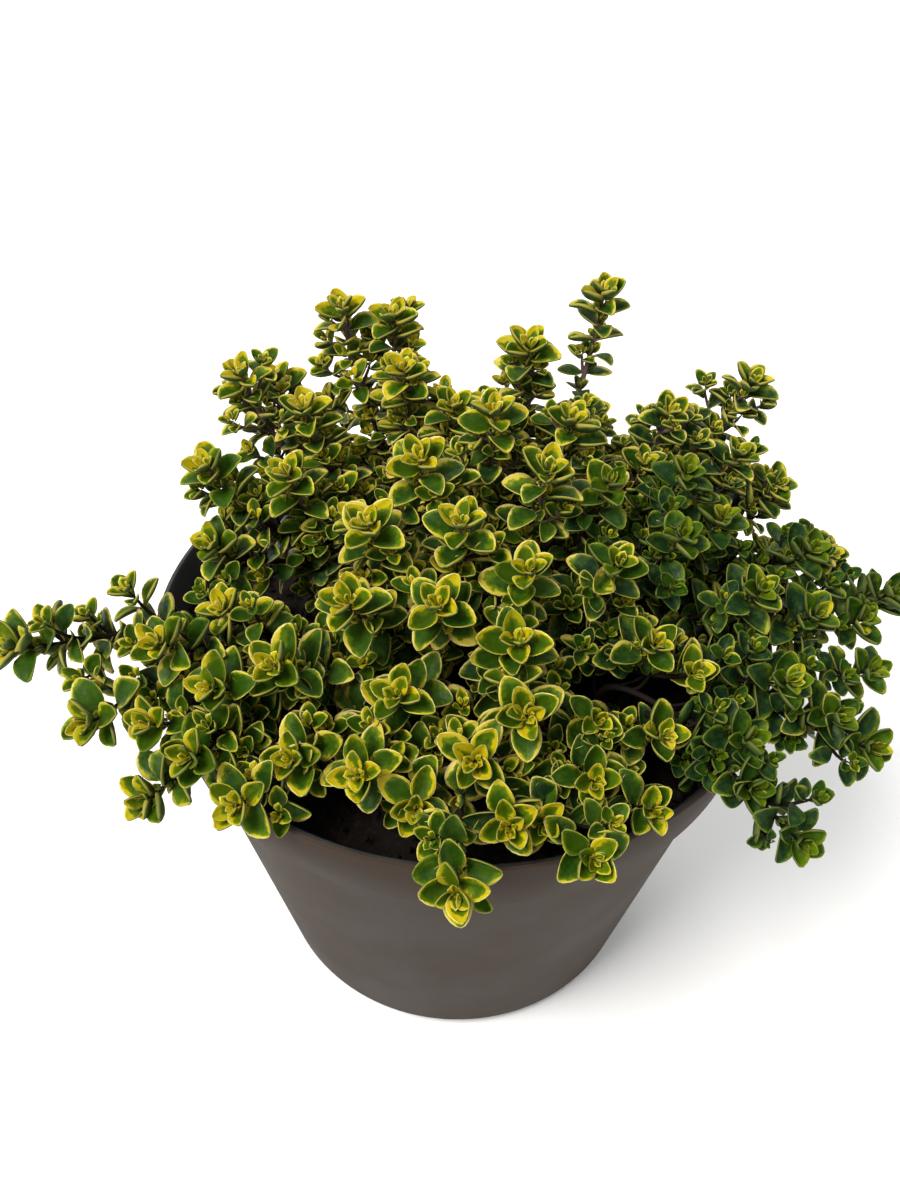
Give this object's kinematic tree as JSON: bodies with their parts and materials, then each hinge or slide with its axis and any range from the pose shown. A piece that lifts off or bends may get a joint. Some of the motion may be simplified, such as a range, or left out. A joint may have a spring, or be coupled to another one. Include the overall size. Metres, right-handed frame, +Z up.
{
  "type": "potted thyme",
  "caption": "Bushy variegated thyme with small paired leaves on thin square stems, growing in compost in a round tapered plastic pot.",
  "frame": {"origin": "middle of the pot's underside, on the surface it stands on", "axes": "+Z up along the pot's axis, -Y towards the front of the plant"},
  "size_m": [0.1839, 0.141, 0.16],
  "materials": {
    "pot": "matte taupe plastic, darker inside",
    "compost": "crumbly dark potting compost",
    "foliage": "soft satin leaves, green with yellow and cream margins, on brown stems"
  },
  "bodies": {
    "root": {"pot": "pot", "compost": "compost", "leafy_stem_01": "foliage", "leafy_stem_02": "foliage", "leafy_stem_03": "foliage", "leafy_stem_04": "foliage", "leafy_stem_05": "foliage", "leafy_stem_06": "foliage", "leafy_stem_07": "foliage", "leafy_stem_08": "foliage", "leafy_stem_09": "foliage", "leafy_stem_10": "foliage", "leafy_stem_11": "foliage", "leafy_stem_12": "foliage", "leafy_stem_13": "foliage", "leafy_stem_14": "foliage", "leafy_stem_15": "foliage", "leafy_stem_16": "foliage", "leafy_stem_17": "foliage", "leafy_stem_18": "foliage", "leafy_stem_19": "foliage", "leafy_stem_20": "foliage", "leafy_stem_21": "foliage", "leafy_stem_22": "foliage", "leafy_stem_23": "foliage", "leafy_stem_24": "foliage", "leafy_stem_25": "foliage", "leafy_stem_26": "foliage", "leafy_stem_27": "foliage", "leafy_stem_28": "foliage", "leafy_stem_29": "foliage", "leafy_stem_30": "foliage", "leafy_stem_31": "foliage", "leafy_stem_32": "foliage", "leafy_stem_33": "foliage", "leafy_stem_34": "foliage", "leafy_stem_35": "foliage", "leafy_stem_36": "foliage", "leafy_stem_37": "foliage", "leafy_stem_38": "foliage", "leafy_stem_39": "foliage", "leafy_stem_40": "foliage", "leafy_stem_41": "foliage", "leafy_stem_42": "foliage", "leafy_stem_43": "foliage", "leafy_stem_44": "foliage", "leafy_stem_45": "foliage", "leafy_stem_46": "foliage", "leafy_stem_47": "foliage", "leafy_stem_48": "foliage", "leafy_stem_49": "foliage", "leafy_stem_50": "foliage", "leafy_stem_51": "foliage", "leafy_stem_52": "foliage"}
  },
  "joints": []
}
